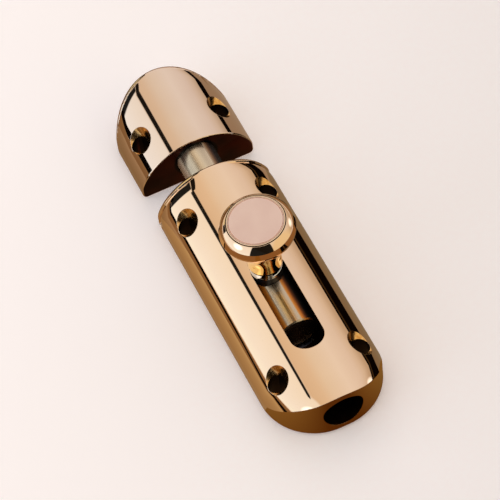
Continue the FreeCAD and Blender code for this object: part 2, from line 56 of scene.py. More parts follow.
def add(tree, kind, inputs=None, stops=(), **settings):
    """Adds a shader node. The settings are its properties, inputs gives sockets a value or a link, and stops
    gives a colour ramp each (position, sRGB hex) that it runs through."""
    made = tree.nodes.new("ShaderNode" + kind)
    for name, value in settings.items():
        setattr(made, name, value)
    for name, value in (inputs or {}).items():
        if isinstance(value, bpy.types.NodeSocket):
            tree.links.new(value, made.inputs[name])
        else:
            made.inputs[name].default_value = value
    while stops and len(made.color_ramp.elements) < len(stops):
        made.color_ramp.elements.new(0.5)
    for number, (position, colour) in enumerate(sorted(stops)):
        made.color_ramp.elements[number].position = position
        made.color_ramp.elements[number].color = linear(colour)
    return made


def new_material(name):
    material = bpy.data.materials.new(name)
    material.use_nodes = True
    material.node_tree.nodes.clear()
    return material, material.node_tree


def lacquered_rose_gold(name, pale, deep, edge_break):
    """Rose gold plating under clear lacquer, polished to a mirror: it shows the studio in its own warm tint.
    Broad low waves from the polishing wheel bend the reflections a little, and each edge has a fine break."""
    material, tree = new_material(name)
    place = add(tree, "TexCoord")
    # wheel waves about 7 mm long, plating that varies over 12 mm, and handling marks about 2 mm across
    waves = add(tree, "TexNoise", {"Vector": place.outputs["Object"], "Scale": 1 / (7 * MM), "Detail": 0.0})
    depth = add(tree, "TexNoise", {"Vector": place.outputs["Object"], "Scale": 1 / (12 * MM), "Detail": 2.0})
    marks = add(tree, "TexNoise", {"Vector": place.outputs["Object"], "Scale": 1 / (2 * MM), "Detail": 4.0})
    colour = add(tree, "ValToRGB", {0: depth.outputs[0]}, stops=[(0.35, deep), (0.65, pale)])
    rough = add(tree, "MapRange", {"Value": marks.outputs[0], "From Min": 0.35, "From Max": 0.7,
                                   "To Min": 0.02, "To Max": 0.045})
    edge = add(tree, "Bevel", {"Radius": edge_break * MM}, samples=8)
    bump = add(tree, "Bump", {"Height": waves.outputs[0], "Normal": edge.outputs[0], "Strength": 0.15,
                              "Distance": 0.02 * MM})
    metal = add(tree, "BsdfPrincipled", {"Base Color": colour.outputs[0], "Metallic": 1.0,
                                         "Roughness": rough.outputs[0], "Normal": bump.outputs[0]})
    add(tree, "OutputMaterial", {0: metal.outputs[0]})
    return material


def cut_brass_in_painted_shade():
    """Brass as drill and cutter left it, painted near black as shade: this keeps the bore, the slot
    and the screw holes dark against the mirror round them."""
    material, tree = new_material("cut_brass_in_painted_shade")
    place = add(tree, "TexCoord")
    # tool rings 0.3 mm apart, and stains about 1.5 mm across
    stretched = add(tree, "Mapping", {"Vector": place.outputs["Object"], "Scale": (1 / 0.3, 0.4, 0.4)})
    rings = add(tree, "TexNoise", {"Vector": stretched.outputs[0], "Scale": 1 / MM, "Detail": 1.0})
    stains = add(tree, "TexNoise", {"Vector": place.outputs["Object"], "Scale": 1 / (1.5 * MM), "Detail": 3.0})
    # painted shade: the walls' near-black browns
    colour = add(tree, "ValToRGB", {0: stains.outputs[0]}, stops=[(0.3, "#1A0D05"), (0.7, "#2C180B")])
    bump = add(tree, "Bump", {"Height": rings.outputs[0], "Strength": 0.3, "Distance": 0.01 * MM})
    metal = add(tree, "BsdfPrincipled", {"Base Color": colour.outputs[0], "Metallic": 1.0, "Roughness": 0.45,
                                         "Normal": bump.outputs[0]})
    add(tree, "OutputMaterial", {0: metal.outputs[0]})
    return material


def spoke_to(surface, point):
    """From the middle of a drawn surface out to a point. It is in mm, and the point in metres."""
    axis, centre, radius = surface
    x, y, z = point / MM
    if axis == "X":
        return Vector((0, y - centre[0], z - centre[1]))
    if axis == "Z":
        return Vector((x - centre[0], y - centre[1], 0))
    return Vector((0, y, 0))


def rolled_over(ends, point):
    """How deep the roll has sunk a point, in mm, how far its normal leans outwards, and if the end is round."""
    x, y = point.x / MM, point.y / MM
    for end_x, end_y, radius, facing, width, slope in ends:
        outward = Vector((x - end_x, (abs(y) - end_y) * math.copysign(1, y), 0))
        share = min(max((outward.length - radius + width) / width, 0), 1)
        # the roll fades out towards the crest and where the arc ends
        strength = slope * min(max((abs(y) - 2.5) / 3.5, 0), 1) * min(max((x - end_x) * facing / 3, 0), 1)
        if share * strength > 0:
            return strength * width * share ** 2 / 2, outward.normalized() * strength * share, radius < 100
    return 0.0, Vector((0, 0, 0)), False


def polished_bar(name, node, drawn, ends, cuts):
    """A piece of the arched bar with the shape of a CAD node, rolled over at its ends as the wheel leaves them.
    A mirror shows the least error in its normals, so each corner has the exact normal of its drawn surface:
    a cylinder, ("X" or "Z", centre, radius) in mm, or the flanks, ("Y", 0, distance). Each end is the arc
    that it follows in plan, (x, y, radius), the way it faces along x, and the roll's width and steepest
    slope. Cuts are the places along x where the bar is divided, so that it can bend."""
    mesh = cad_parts[node].data.copy()
    bar = bmesh.new()
    bar.from_mesh(mesh)
    bmesh.ops.remove_doubles(bar, verts=bar.verts, dist=0.0005 * MM)
    kind = bar.faces.layers.int.new("kind")
    for face in bar.faces:
        for number, surface in enumerate(drawn):
            spokes = [spoke_to(surface, vertex.co) for vertex in face.verts]
            on_it = all(abs(spoke.length - surface[2]) < 0.004 for spoke in spokes)
            if on_it and face.normal.dot(spokes[0].normalized()) > 0.97:
                face[kind] = number + 1
                break
    for x in cuts:
        bmesh.ops.bisect_plane(bar, geom=bar.verts[:] + bar.edges[:] + bar.faces[:], dist=0.0001 * MM,
                               plane_co=(x * MM, 0, 0), plane_no=(1, 0, 0))
    normals, places = [], {}
    for face in bar.faces:
        for corner in face.loops:
            if face[kind] == 0:
                normals.append(None)
                continue
            square = spoke_to(drawn[face[kind] - 1], corner.vert.co).normalized()
            if drawn[face[kind] - 1][0] == "Z":
                normals.append(square)
                continue
            depth, lean, slides = rolled_over(ends, corner.vert.co)
            normals.append((square + lean).normalized())
            # on an upright round wall the edge slides down the wall, so that the wall keeps its shape
            inwards = Vector((0, 0, square.z)) if slides else square
            places[corner.vert] = corner.vert.co - inwards * depth * MM
    for vertex, place in places.items():
        vertex.co = place
    bar.to_mesh(mesh)
    bar.free()
    if "custom_normal" in mesh.attributes:
        mesh.attributes.remove(mesh.attributes["custom_normal"])
    mesh.polygons.foreach_set("use_smooth", [True] * len(mesh.polygons))
    mesh.set_sharp_from_angle(angle=math.radians(30))
    smooth = [Vector(corner.vector) for corner in mesh.corner_normals]
    mesh.normals_split_custom_set([exact or plain for exact, plain in zip(normals, smooth)])
    piece = bpy.data.objects.new(name, mesh)
    bpy.context.scene.collection.objects.link(piece)
    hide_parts(node)
    return piece


def finish_with(piece, material):
    piece.data.materials.clear()
    piece.data.materials.append(material)


def countersunk_brass():
    """The countersinks' cones as the cutter left them under the plating: deep gold, and half dull."""
    material, tree = new_material("countersunk_brass")
    place = add(tree, "TexCoord")
    chatter = add(tree, "TexNoise", {"Vector": place.outputs["Object"], "Scale": 1 / (0.7 * MM), "Detail": 2.0})
    colour = add(tree, "ValToRGB", {0: chatter.outputs[0]}, stops=[(0.3, "#C98F4C"), (0.7, "#E6B87A")])
    rough = add(tree, "MapRange", {"Value": chatter.outputs[0], "From Min": 0.3, "From Max": 0.7,
                                   "To Min": 0.15, "To Max": 0.26})
    metal = add(tree, "BsdfPrincipled", {"Base Color": colour.outputs[0], "Metallic": 1.0,
                                         "Roughness": rough.outputs[0]})
    add(tree, "OutputMaterial", {0: metal.outputs[0]})
    return material


# radii in mm that hold the walls of the bore, of the screw holes and of their countersinks
IN_BORE, IN_HOLE, IN_SINK = 4.8, 2.12, 3.45


def show_cuts(piece, in_hole, in_sink, holes):
    """Gives the walls of the bore, the knob's slot and the screw holes, each (x, y) in mm, one material, the
    painted shade, and the countersinks another. A countersink's axis is the crown's radius through the hole's
    place."""
    piece.data.materials.append(in_hole)
    piece.data.materials.append(in_sink)
    for face in piece.data.polygons:
        x, y, z = face.center / MM
        # these walls take the painted shade
        in_slot = 8.9 < x < 36.4 and abs(y) < 4 and z > 9 and abs(face.normal.z) < 0.5
        if in_slot or math.hypot(y, z - ROD_Z) < IN_BORE:
            face.material_index = 1
        for hole_x, hole_y in holes:
            if math.hypot(x - hole_x, y - hole_y) < IN_HOLE:
                face.material_index = 1
                continue
            axis = Vector((0, hole_y, math.sqrt(CROWN_RADIUS ** 2 - hole_y ** 2))) / CROWN_RADIUS
            spoke = Vector((x - hole_x, y, z - CROWN_Z))
            off_axis = spoke - axis * spoke.dot(axis)
            if off_axis.length < IN_SINK and spoke.dot(axis) > 12 and 0.5 < face.normal.dot(axis) < 0.9:
                face.material_index = 2


# the bar's crown, haunches and flanks
arched_bar = [("X", (0, CROWN_Z), CROWN_RADIUS), ("X", (9.5, 2.7), 4.5), ("X", (-9.5, 2.7), 4.5), ("Y", 0, 14)]
# its front is flat, and an arc a metre in radius is straight enough for the roll there
casing = polished_bar("casing_polished", "casing", arched_bar + [("Z", (37, 1), 13), ("Z", (37, -1), 13)],
                      [(981.3, 0, 1000, -1, 4.5, 0.34), (37, 1, 13, 1, 2.4, 0.4)],
                      [-18.7 + 0.3 * step for step in range(1, 16)] + [37 + 0.6 * step for step in range(1, 22)])
casing_gold = lacquered_rose_gold("lacquered_rose_gold", "#E8C6A5", "#E6C4A3", 0.15)
finish_with(casing, casing_gold)
# painted shade for the walls of the bore, the slot and the screw holes
cut_walls_in_shade = cut_brass_in_painted_shade()
countersunk = countersunk_brass()
show_cuts(casing, cut_walls_in_shade, countersunk, [(-8.9, 10), (-8.9, -10), (37.7, 10), (37.7, -10)])
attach(casing, "base")

# ---------------------------------------------------------------- keeper
# The keeper is a short length of the same bar, bowed at the back, bored to take the rod's nose and held by
# two screws. Its gold is a shade greyer than the casing's.

keeper = polished_bar("keeper_polished", "keeper", arched_bar + [("Z", (-34.7, 0), 15.3)],
                      [(-34.7, 0, 15.3, -1, 3.0, 0.22)], [-50 + 0.6 * step for step in range(1, 26)])
keeper_gold = lacquered_rose_gold("lacquered_rose_gold_greyer", "#DFC4AD", "#DDC1AA", 0.2)
finish_with(keeper, keeper_gold)
show_cuts(keeper, cut_walls_in_shade, countersunk, [(-34.8, 10), (-34.8, -10)])


def sawn_face_in_painted_shade():
    """The keeper's sawn face, which the wheel never reached: satin, with its dark maroon painted as the shade and
    dark reflections from the casing's front before it. A black ring round the bore's mouth is painted shade of the
    gap round the rod."""
    material, tree = new_material("sawn_face_in_painted_shade")
    place = add(tree, "TexCoord")
    # saw lines about 0.4 mm apart run across the face
    stretched = add(tree, "Mapping", {"Vector": place.outputs["Object"], "Scale": (1, 0.08, 2.5)})
    lines = add(tree, "TexNoise", {"Vector": stretched.outputs[0], "Scale": 1 / MM, "Detail": 2.0})
    stains = add(tree, "TexNoise", {"Vector": place.outputs["Object"], "Scale": 1 / (9 * MM), "Detail": 2.0})
    # painted shade and dark reflection: the face's maroon
    tone = add(tree, "ValToRGB", {0: stains.outputs[0]}, stops=[(0.35, "#260D07"), (0.65, "#4A1D10")])
    part = add(tree, "SeparateXYZ", {0: place.outputs["Object"]})
    flat = add(tree, "CombineXYZ", {"Y": part.outputs["Y"], "Z": part.outputs["Z"]})
    # painted shade: a black ring round the bore's mouth, out to 5.2 mm and fading by 5.7 mm
    spoke = add(tree, "VectorMath", {0: flat.outputs[0], 1: (0, 0, ROD_Z * MM)}, operation="DISTANCE")
    outside_shaded_ring = add(tree, "MapRange", {"Value": spoke.outputs["Value"], "From Min": 5.2 * MM,
                                      "From Max": 5.7 * MM})
    colour = add(tree, "Mix", {0: outside_shaded_ring.outputs[0], 6: linear("#0A0503"), 7: tone.outputs[0]}, data_type="RGBA")
    bump = add(tree, "Bump", {"Height": lines.outputs[0], "Strength": 0.2, "Distance": 0.01 * MM})
    metal = add(tree, "BsdfPrincipled", {"Base Color": colour.outputs[2], "Metallic": 1.0, "Roughness": 0.3,
                                         "Normal": bump.outputs[0]})
    add(tree, "OutputMaterial", {0: metal.outputs[0]})
    return material


keeper.data.materials.append(sawn_face_in_painted_shade())
for face in keeper.data.polygons:
    if face.normal.x > 0.99:
        face.material_index = 3
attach(keeper, "base")

# ---------------------------------------------------------------- bolt rod
# The rod is turned mild steel, centreless ground and drawn through a polishing belt lengthwise, so it is
# satin: reflections run out into soft bands along it.


def belt_polished_steel():
    """Ground mild steel with a lengthwise belt grain, which smears highlights across the rod's roundness
    into long warm grey bands. Its sides carry a painted reflection and painted shade: orange to near black in the
    slot, brownish to near black towards the keeper."""
    material, tree = new_material("belt_polished_steel")
    place = add(tree, "TexCoord")
    # grain 0.25 mm wide and 30 mm long, and bands 3 mm wide
    stretched = add(tree, "Mapping", {"Vector": place.outputs["Object"], "Scale": (1 / 30, 4, 4)})
    grain = add(tree, "TexNoise", {"Vector": stretched.outputs[0], "Scale": 1 / MM, "Detail": 2.0})
    broad = add(tree, "Mapping", {"Vector": place.outputs["Object"], "Scale": (1 / 80, 1 / 3, 1 / 3)})
    bands = add(tree, "TexNoise", {"Vector": broad.outputs[0], "Scale": 1 / MM, "Detail": 1.0})
    tone = add(tree, "ValToRGB", {0: bands.outputs[0]},
               stops=[(0.35, "#A8937A"), (0.5, "#C4AF94"), (0.65, "#DCC8AC")])
    facing = add(tree, "SeparateXYZ", {0: place.outputs["Normal"]})
    part = add(tree, "SeparateXYZ", {0: place.outputs["Object"]})
    behind = add(tree, "MapRange", {"Value": part.outputs["X"], "From Min": -10 * MM, "From Max": 10 * MM})
    # how far round the rod the painted reflection begins on either side, as the sideways part of its normal
    left_edge = add(tree, "MapRange", {"Value": behind.outputs[0], "To Min": 0.80, "To Max": 0.46})
    right_edge = add(tree, "MapRange", {"Value": behind.outputs[0], "To Min": 0.34, "To Max": 0.21})
    to_left = add(tree, "Math", {0: facing.outputs["Y"], 1: -1.0}, operation="MULTIPLY")
    on_left = add(tree, "Math", {0: to_left.outputs[0], 1: left_edge.outputs[0]}, operation="SUBTRACT")
    on_left = add(tree, "MapRange", {"Value": on_left.outputs[0], "From Min": 0.0, "From Max": 0.6})
    on_right = add(tree, "Math", {0: facing.outputs["Y"], 1: right_edge.outputs[0]}, operation="SUBTRACT")
    on_right = add(tree, "MapRange", {"Value": on_right.outputs[0], "From Min": 0.0, "From Max": 0.42})
    # painted reflection and shade: how deep into the side bands a point lies
    oil = add(tree, "Math", {0: on_left.outputs[0], 1: on_right.outputs[0]}, operation="MAXIMUM")
    amber = add(tree, "ValToRGB", {0: oil.outputs[0]},
                stops=[(0.1, "#F0A040"), (0.35, "#D87614"), (0.6, "#7A3E0C"), (0.9, "#080402")])
    brown = add(tree, "ValToRGB", {0: oil.outputs[0]},
                stops=[(0.1, "#B59C84"), (0.35, "#8F6A4A"), (0.6, "#4A2A14"), (0.9, "#160A05")])
    # painted reflection: orange in the slot, brownish towards the keeper
    film = add(tree, "Mix", {0: behind.outputs[0], 6: brown.outputs[0], 7: amber.outputs[0]}, data_type="RGBA")
    cover = add(tree, "MapRange", {"Value": oil.outputs[0], "From Min": 0.02, "From Max": 0.16})
    colour = add(tree, "Mix", {0: cover.outputs[0], 6: tone.outputs[0], 7: film.outputs[2]}, data_type="RGBA")
    bare = add(tree, "MapRange", {"Value": cover.outputs[0], "To Min": 1.0, "To Max": 0.1})
    rough = add(tree, "MapRange", {"Value": grain.outputs[0], "From Min": 0.3, "From Max": 0.7,
                                   "To Min": 0.24, "To Max": 0.34})
    dull = add(tree, "Math", {0: cover.outputs[0], 1: 0.3, 2: rough.outputs[0]}, operation="MULTIPLY_ADD")
    bump = add(tree, "Bump", {"Height": grain.outputs[0], "Strength": 0.15, "Distance": 0.003 * MM})
    metal = add(tree, "BsdfPrincipled", {"Base Color": colour.outputs[2], "Metallic": bare.outputs[0],
                                         "Roughness": dull.outputs[0], "Normal": bump.outputs[0]})
    add(tree, "OutputMaterial", {0: metal.outputs[0]})
    return material


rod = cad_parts["bolt_rod"]
rod.data.materials.clear()
rod.data.materials.append(belt_polished_steel())

# ---------------------------------------------------------------- stem bush
# A turned nylon bush runs in the casing's slot and keeps the knob's stem off its polished walls. It is dyed
# black, with a dull sheen and fine turning rings.


# the knob's axis crosses the rod's here and leans to the left
KNOB_AT = Vector((12.9, 0, ROD_Z))
KNOB_LEAN = math.radians(3)


def leant(radius, height, turn):
    """A point or direction given about the knob's axis, leant over with it."""
    y = radius * math.sin(turn)
    return Vector((radius * math.cos(turn), y * math.cos(KNOB_LEAN) - height * math.sin(KNOB_LEAN),
                   y * math.sin(KNOB_LEAN) + height * math.cos(KNOB_LEAN)))


def turned(name, outline, sides):
    """A piece turned about the knob's axis. The outline is a closed list of (radius, height above the rod's
    axis, corner rounding) in mm, and each face gets the exact normal of the turned surface."""
    count, rounding_steps = len(outline), 4
    runs = []
    for number in range(count):
        here = Vector(outline[number][:2])
        before = (Vector(outline[number - 1][:2]) - here).normalized()
        after = (Vector(outline[(number + 1) % count][:2]) - here).normalized()
        rounding = outline[number][2]
        if rounding == 0:
            runs.append([(here, None)])
            continue
        half = before.angle(after) / 2
        reach = rounding / math.tan(half)
        centre = here + (before + after).normalized() * (rounding / math.sin(half))
        first = here + before * reach - centre
        last = here + after * reach - centre
        arc = []
        for step in range(rounding_steps + 1):
            spoke = first.slerp(last, step / rounding_steps)
            bulges = (after.x * before.y - after.y * before.x) > 0
            arc.append((centre + spoke * rounding, spoke if bulges else -spoke))
        runs.append(arc)
    # strips of the surface, each with a normal at its start and its end
    strips = []
    for number in range(count):
        for (start, start_normal), (end, end_normal) in zip(runs[number], runs[number][1:]):
            strips.append((start, start_normal, end, end_normal))
        start = runs[number][-1][0]
        end = runs[(number + 1) % count][0][0]
        along = (end - start).normalized()
        square = Vector((along.y, -along.x))
        strips.append((start, square, end, square))
    # where strips of an arc meet, they share their normal
    for number, strip in enumerate(strips):
        following = (number + 1) % len(strips)
        if strip[3].angle(strips[following][1]) < math.radians(10):
            shared = (strip[3] + strips[following][1]).normalized()
            strips[number] = (strips[number][0], strips[number][1], strip[2], shared)
            strips[following] = (strips[following][0], shared) + strips[following][2:]
    vertices, faces, normals = [], [], []
    for start, start_normal, end, end_normal in strips:
        first = len(vertices)
        for side in range(sides):
            for point in (start, end):
                vertices.append((KNOB_AT + leant(point.x, point.y, 2 * math.pi * side / sides)) * MM)
        for side in range(sides):
            here, following = first + 2 * side, first + 2 * ((side + 1) % sides)
            faces.append((here, following, following + 1, here + 1))
            for corner_side, normal in ((side, start_normal), (side + 1, start_normal), (side + 1, end_normal),
                                        (side, end_normal)):
                normals.append(leant(normal.x, normal.y, 2 * math.pi * corner_side / sides))
    mesh = bpy.data.meshes.new(name)
    mesh.from_pydata(vertices, [], faces)
    mesh.polygons.foreach_set("use_smooth", [True] * len(mesh.polygons))
    mesh.normals_split_custom_set(normals)
    piece = bpy.data.objects.new(name, mesh)
    bpy.context.scene.collection.objects.link(piece)
    return piece


def turned_nylon():
    """Black nylon 6 off the lathe: dull, with rings about 0.15 mm apart that catch a thin sheen."""
    material, tree = new_material("turned_nylon")
    place = add(tree, "TexCoord")
    rings = add(tree, "TexWave", {"Vector": place.outputs["Object"], "Scale": 0.5 / (0.15 * MM) / 10,
                                  "Distortion": 0.0}, wave_type="BANDS", bands_direction="Z")
    mottle = add(tree, "TexNoise", {"Vector": place.outputs["Object"], "Scale": 1 / (0.8 * MM)})
    tone = add(tree, "ValToRGB", {0: mottle.outputs[0]}, stops=[(0.3, "#0B0A0A"), (0.7, "#171514")])
    bump = add(tree, "Bump", {"Height": rings.outputs[1], "Strength": 0.3, "Distance": 0.01 * MM})
    nylon = add(tree, "BsdfPrincipled", {"Base Color": tone.outputs[0], "Roughness": 0.38, "IOR": 1.53,
                                         "Normal": bump.outputs[0]})
    add(tree, "OutputMaterial", {0: nylon.outputs[0]})
    return material


bush = turned("slot_bush_turned", [(2.1, 4.0, 0), (3.5, 4.0, 0.15), (3.5, 6.7, 0.15), (2.1, 6.7, 0)], 96)
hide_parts("slot_bush")
finish_with(bush, turned_nylon())
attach(bush, "bolt")

# ---------------------------------------------------------------- washers
# A stamped plain washer lies on the bush, and on it a spring lock washer, coiled from flat wire and cut
# through, which keeps the knob's screw from working loose. Both are zinc plated and bright.


def bright_zinc():
    """Bright zinc plating over stamped steel: cool grey, mirror bright and lightly pitted about 0.3 mm apart."""
    material, tree = new_material("bright_zinc")
    place = add(tree, "TexCoord")
    pits = add(tree, "TexNoise", {"Vector": place.outputs["Object"], "Scale": 1 / (0.3 * MM), "Detail": 2.0})
    tone = add(tree, "ValToRGB", {0: pits.outputs[0]}, stops=[(0.3, "#B9BCBF"), (0.7, "#DFE1E4")])
    bump = add(tree, "Bump", {"Height": pits.outputs[0], "Strength": 0.2, "Distance": 0.01 * MM})
    metal = add(tree, "BsdfPrincipled", {"Base Color": tone.outputs[0], "Metallic": 1.0, "Roughness": 0.09,
                                         "Normal": bump.outputs[0]})
    add(tree, "OutputMaterial", {0: metal.outputs[0]})
    return material


zinc = bright_zinc()
washer = turned("plain_washer_stamped",
                [(2.1, 6.7, 0.05), (3.65, 6.7, 0.12), (3.65, 7.5, 0.25), (2.1, 7.5, 0.05)], 96)
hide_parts("plain_washer")
finish_with(washer, zinc)
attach(washer, "bolt")
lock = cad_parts["lock_washer"]
lock.data.materials.clear()
lock.data.materials.append(zinc)

# ---------------------------------------------------------------- knob
# The knob is turned from brass rod in one piece: a foot, a stem that flares out under the head, a narrow
# rim and a domed edge round a flat face. It is polished and plated as the casing is.

# its foot's height above the rod's axis, in mm
FOOT = 9.2


def up(radius, height, rounding=0.0):
    """A point of the knob's outline, measured from its foot."""
    return (radius, FOOT + height, rounding)


def arc_points(start, end, radius, steps):
    """Points between two points of an outline along an arc that bends outwards, or inwards if negative."""
    a, b = Vector(start), Vector(end)
    chord = b - a
    outward = Vector((chord.y, -chord.x)).normalized() * (1 if radius > 0 else -1)
    depth = math.sqrt(radius ** 2 - (chord.length / 2) ** 2)
    centre = (a + b) / 2 - outward * depth
    points = []
    for step in range(1, steps):
        spoke = (a - centre).slerp(b - centre, step / steps)
        points.append(tuple(centre + spoke * abs(radius)))
    return points


knob_outline = [up(2.1, 0), up(3.9, 0, 0.12), up(3.9, 2.4)]
knob_outline += [up(*point) for point in arc_points((3.9, 2.4), (6.2, 8.578), -9.5, 16)]
knob_outline += [up(6.2, 8.578), up(7.6, 11.2)]
knob_outline += [up(*point) for point in arc_points((7.6, 11.2), (8.4, 12.9), 2.2, 10)]
knob_outline += [up(8.4, 12.9), up(7.98, 14.3, 0.1)]
knob_outline += [up(*point) for point in arc_points((7.98, 14.3), (6.62, 15.74), 5.0, 12)]
knob_outline += [up(6.62, 15.74, 0.05), up(6.5, 15.6), up(6.38, 15.8, 0.03), up(6.16, 15.8, 0.03),
                 up(6.16, 14.8), up(3.75, 14.8), up(3.75, 10.9), up(2.1, 10.9)]
knob = turned("knob_turned", knob_outline, 192)
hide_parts("knob")
knob_gold = lacquered_rose_gold("lacquered_rose_gold_knob", "#E8C6A5", "#E6C4A3", 0.08)
# painted reflection: below the dome the knob is painted a warmer gold, and its neck yellower, for the casing's gold
# seen in them
tree = knob_gold.node_tree
shader = [node for node in tree.nodes if node.type == "BSDF_PRINCIPLED"][0]
# the dome keeps its own unpainted gold
thin = shader.inputs["Base Color"].links[0].from_socket
place = add(tree, "TexCoord")
along_axis = leant(0, 1, 0)
height = add(tree, "VectorMath", {0: place.outputs["Object"], 1: along_axis}, operation="DOT_PRODUCT")
level = KNOB_AT.dot(along_axis) + FOOT
on_dome = add(tree, "MapRange", {"Value": height.outputs["Value"], "From Min": (level + 14.26) * MM,
                                 "From Max": (level + 14.30) * MM})
on_neck = add(tree, "MapRange", {"Value": height.outputs["Value"], "From Min": (level + 9) * MM,
                                 "From Max": (level + 11) * MM, "To Min": 1.0, "To Max": 0.0})
tone = add(tree, "Mix", {0: on_neck.outputs[0], 6: linear("#F0BE8A"), 7: linear("#F0C878")}, data_type="RGBA")
tone = add(tree, "Mix", {0: on_dome.outputs[0], 6: tone.outputs[2], 7: thin}, data_type="RGBA")
tree.links.new(tone.outputs[2], shader.inputs["Base Color"])
finish_with(knob, knob_gold)
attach(knob, "bolt")


def tinted_groove_lines(piece, material, rings):
    """Gives fine turned grooves another material: each ring is (inner, outer radius) in mm
    about the knob's axis, at the height of its face."""
    piece.data.materials.append(material)
    for face in piece.data.polygons:
        spoke = face.center / MM - KNOB_AT
        off_axis = (spoke - along_axis * spoke.dot(along_axis)).length
        if spoke.dot(along_axis) > FOOT + 15.5 and any(inner < off_axis < outer for inner, outer in rings):
            face.material_index = 1


# painted shade: the knob's fine groove is drawn near black
tinted_groove_lines(knob, cut_walls_in_shade, [(6.39, 6.61)])

# ---------------------------------------------------------------- knob cap
# A disc of the same brass is pressed into the knob's face over the screw. It is plated but left satin, so
# it stays one even pink, and a fine ring line is turned near its edge.


def satin_rose_gold():
    """Rose gold over a lapped face: a soft pink without bands, finer than 0.1 mm grit, drawn here at 0.15."""
    material, tree = new_material("satin_rose_gold")
    place = add(tree, "TexCoord")
    grit = add(tree, "TexNoise", {"Vector": place.outputs["Object"], "Scale": 1 / (0.15 * MM), "Detail": 2.0})
    cloud = add(tree, "TexNoise", {"Vector": place.outputs["Object"], "Scale": 1 / (5 * MM), "Detail": 1.0})
    tone = add(tree, "ValToRGB", {0: cloud.outputs[0]}, stops=[(0.3, "#DDBDB0"), (0.7, "#E3C5B7")])
    rough = add(tree, "MapRange", {"Value": grit.outputs[0], "To Min": 0.30, "To Max": 0.42})
    bump = add(tree, "Bump", {"Height": grit.outputs[0], "Strength": 0.1, "Distance": 0.003 * MM})
    metal = add(tree, "BsdfPrincipled", {"Base Color": tone.outputs[0], "Metallic": 1.0,
                                         "Roughness": rough.outputs[0], "Normal": bump.outputs[0]})
    add(tree, "OutputMaterial", {0: metal.outputs[0]})
    return material


cap = turned("knob_cap_turned", [up(0.001, 14.8), up(6.1, 14.8), up(6.1, 15.8, 0.03), up(5.95, 15.8),
                                 up(5.90, 15.72), up(5.85, 15.8), up(0.001, 15.8)], 192)
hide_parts("knob_cap")
finish_with(cap, satin_rose_gold())
tinted_groove_lines(cap, countersunk, [(5.86, 5.94)])
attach(cap, "bolt")

# ---------------------------------------------------------------- knob screw
# A socket head screw through the knob, the washers and the bush clamps them to the flat on the rod. It is
# alloy steel, blackened and oiled, and the cap hides its head.


def blackened_steel():
    """Heat-blackened alloy steel with a film of oil: near black, with a soft mottled shine."""
    material, tree = new_material("blackened_steel")
    place = add(tree, "TexCoord")
    mottle = add(tree, "TexNoise", {"Vector": place.outputs["Object"], "Scale": 1 / (0.6 * MM), "Detail": 3.0})
    tone = add(tree, "ValToRGB", {0: mottle.outputs[0]}, stops=[(0.3, "#232120"), (0.7, "#34302D")])
    rough = add(tree, "MapRange", {"Value": mottle.outputs[0], "To Min": 0.28, "To Max": 0.5})
    metal = add(tree, "BsdfPrincipled", {"Base Color": tone.outputs[0], "Metallic": 1.0,
                                         "Roughness": rough.outputs[0]})
    add(tree, "OutputMaterial", {0: metal.outputs[0]})
    return material


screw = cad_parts["knob_screw"]
screw.data.materials.clear()
screw.data.materials.append(blackened_steel())

# ---------------------------------------------------------------- friction spring
# A bowed strip of hardened spring steel lies under the rod and presses on it, so that the bolt stays where
# it is put. It is blued by its tempering.


def blued_spring_steel():
    """Rolled spring steel, straw to blue from tempering, with a fine rolling grain along the strip."""
    material, tree = new_material("blued_spring_steel")
    place = add(tree, "TexCoord")
    rolled = add(tree, "Mapping", {"Vector": place.outputs["Object"], "Scale": (1 / 12, 6, 6)})
    grain = add(tree, "TexNoise", {"Vector": rolled.outputs[0], "Scale": 1 / MM, "Detail": 2.0})
    heat = add(tree, "TexNoise", {"Vector": place.outputs["Object"], "Scale": 1 / (9 * MM)})
    tone = add(tree, "ValToRGB", {0: heat.outputs[0]},
               stops=[(0.35, "#4A5468"), (0.55, "#5E5A66"), (0.7, "#7A6248")])
    rough = add(tree, "MapRange", {"Value": grain.outputs[0], "To Min": 0.22, "To Max": 0.4})
    metal = add(tree, "BsdfPrincipled", {"Base Color": tone.outputs[0], "Metallic": 1.0,
                                         "Roughness": rough.outputs[0]})
    add(tree, "OutputMaterial", {0: metal.outputs[0]})
    return material


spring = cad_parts["friction_spring"]
spring.data.materials.clear()
spring.data.materials.append(blued_spring_steel())

# ---------------------------------------------------------------- spring cover
# A blanked steel plate, flush with the back of the casing, closes the window below the spring. Two small
# countersunk screws hold it. Plate and screws are barrel plated in dull zinc.


def barrel_zinc():
    """Dull barrel-plated zinc: blue-grey, with the soft spangle of parts tumbled against each other."""
    material, tree = new_material("barrel_zinc")
    place = add(tree, "TexCoord")
    spangle = add(tree, "TexVoronoi", {"Vector": place.outputs["Object"], "Scale": 1 / (1.2 * MM)})
    marks = add(tree, "TexNoise", {"Vector": place.outputs["Object"], "Scale": 1 / (0.4 * MM), "Detail": 3.0})
    tone = add(tree, "ValToRGB", {0: spangle.outputs["Color"]}, stops=[(0.2, "#9FA4A8"), (0.8, "#B9BEC2")])
    rough = add(tree, "MapRange", {"Value": marks.outputs[0], "To Min": 0.3, "To Max": 0.55})
    bump = add(tree, "Bump", {"Height": marks.outputs[0], "Strength": 0.2, "Distance": 0.01 * MM})
    metal = add(tree, "BsdfPrincipled", {"Base Color": tone.outputs[0], "Metallic": 1.0,
                                         "Roughness": rough.outputs[0], "Normal": bump.outputs[0]})
    add(tree, "OutputMaterial", {0: metal.outputs[0]})
    return material


dull_zinc = barrel_zinc()
for hidden in ("spring_cover", "cover_screws"):
    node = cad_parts[hidden]
    node.data.materials.clear()
    node.data.materials.append(dull_zinc)

# ---------------------------------------------------------------- table
# The latch lies on its back on a sheet of matt board, coated in a pale pink white. The board lies flat and
# runs out past every view.


